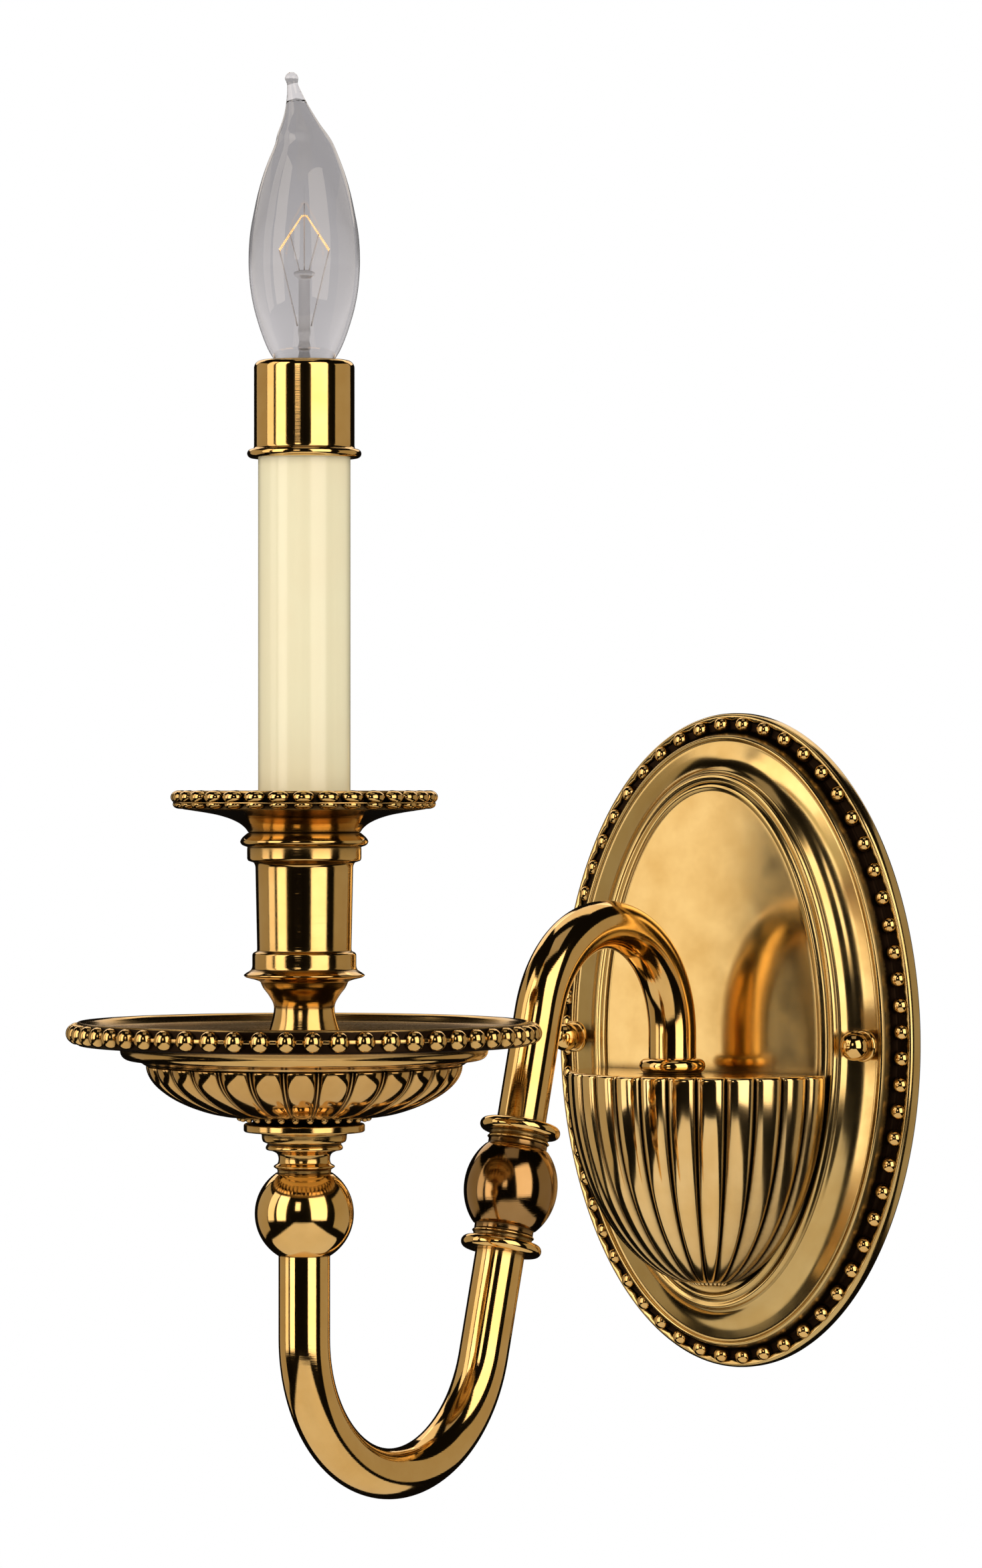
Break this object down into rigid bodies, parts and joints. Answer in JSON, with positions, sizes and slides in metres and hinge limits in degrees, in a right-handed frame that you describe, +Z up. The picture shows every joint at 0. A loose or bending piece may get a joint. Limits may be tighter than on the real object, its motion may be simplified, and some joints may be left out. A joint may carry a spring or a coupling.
{
  "type": "wall sconce",
  "caption": "Wall sconce with one electric candle on an S-shaped brass arm, beaded drip pan, gadrooned bowl and oval beaded plate.",
  "frame": {"origin": "centre of the wall bar's screw slots, on the wall plane behind the middle of the oval plate", "axes": "+Z up along the plate and the candle, -Y out of the wall into the room along the arm, +X to the right of a person who faces the wall"},
  "size_m": [0.1386, 0.2866, 0.418],
  "materials": {
    "antique_brass": "burnished, dark patina in the recesses",
    "bead_brass": "burnished",
    "polished_brass": "polished, lacquered",
    "plain_brass": "plain rolled brass",
    "zinc_steel": "zinc plated",
    "green_steel": "green dyed screw",
    "black_phenolic": "moulded phenolic",
    "black_insulation": "wire insulation",
    "white_insulation": "wire insulation",
    "ivory_sleeve": "smooth ivory resin",
    "clear_glass": "clear blown glass",
    "stem_glass": "clear pressed glass",
    "filament_wire": "coiled tungsten, drawn lit"
  },
  "bodies": {
    "fixture": {"backplate": "antique_brass", "backplate_beads": "bead_brass", "half_bowl": "antique_brass", "bowl_screws": "zinc_steel", "wall_crossbar": "zinc_steel", "crossbar_posts": "plain_brass", "post_lock_nuts": "zinc_steel", "ground_screw": "green_steel", "arm_ferrule": "polished_brass", "arm_end_bush": "plain_brass", "arm_nipple": "zinc_steel", "arm_lock_nut": "zinc_steel", "upper_arm_tube": "polished_brass", "lower_arm_tube": "polished_brass", "knop_ball": "antique_brass", "lower_knop_collar": "polished_brass", "upper_knop_collar": "polished_brass", "knop_joiner": "zinc_steel", "front_ball": "antique_brass", "neck_collar": "antique_brass", "gadroon_bowl": "antique_brass", "drip_pan": "antique_brass", "candle_cup": "antique_brass", "bobeche": "antique_brass", "centre_nipple": "zinc_steel", "stack_washer": "zinc_steel", "stack_nut": "zinc_steel", "socket_bracket": "zinc_steel", "bracket_screw": "zinc_steel", "lamp_socket": "black_phenolic", "socket_screw_shell": "plain_brass", "socket_contact": "plain_brass", "hot_lead": "black_insulation", "neutral_lead": "white_insulation"},
    "sleeve": {"candle_sleeve": "ivory_sleeve"},
    "cap": {"follower_cap": "polished_brass"},
    "bulb_lift": {"bulb_contact": "zinc_steel"},
    "bulb": {"bulb_screw_base": "plain_brass", "bulb_insulator": "black_phenolic", "bulb_glass": "clear_glass", "bulb_stem": "stem_glass", "bulb_support_wires": "zinc_steel", "bulb_filament": "filament_wire"},
    "left_collar": {"left_nut_collar": "polished_brass"},
    "left_nut": {"left_ball_nut": "polished_brass"},
    "right_collar": {"right_nut_collar": "polished_brass"},
    "right_nut": {"right_ball_nut": "polished_brass"}
  },
  "joints": [
    {"name": "sleeve_lift", "type": "slide", "parent": "fixture", "child": "sleeve", "axis": [0, 0, 1], "range_m": [0, 0.004]},
    {"name": "cap_turn", "type": "hinge", "parent": "sleeve", "child": "cap", "pos_m": [0, -0.2175, 0.19], "axis": [0, 0, 1], "continuous": true},
    {"name": "bulb_rise", "type": "slide", "parent": "fixture", "child": "bulb_lift", "axis": [0, 0, 1], "range_m": [0, 0.01145]},
    {"name": "bulb_turn", "type": "hinge", "parent": "bulb_lift", "child": "bulb", "pos_m": [0, -0.2175, 0.19], "axis": [0, 0, 1], "range_deg": [0, 1620]},
    {"name": "left_nut_travel", "type": "slide", "parent": "fixture", "child": "left_collar", "axis": [0, -1, 0], "range_m": [0, 0.00318]},
    {"name": "left_nut_turn", "type": "hinge", "parent": "left_collar", "child": "left_nut", "pos_m": [-0.0564, -0.0184, 0], "axis": [0, -1, 0], "range_deg": [0, 1440]},
    {"name": "right_nut_travel", "type": "slide", "parent": "fixture", "child": "right_collar", "axis": [0, -1, 0], "range_m": [0, 0.00318]},
    {"name": "right_nut_turn", "type": "hinge", "parent": "right_collar", "child": "right_nut", "pos_m": [0.0564, -0.0184, 0], "axis": [0, -1, 0], "range_deg": [0, 1440]}
  ],
  "couplings": [
    {"joint": "bulb_rise", "follows": "bulb_turn", "m_per_rad": 0.00040425},
    {"joint": "left_nut_turn", "follows": "left_nut_travel", "rad_per_m": 7913.3},
    {"joint": "right_nut_turn", "follows": "right_nut_travel", "rad_per_m": 7913.3}
  ]
}
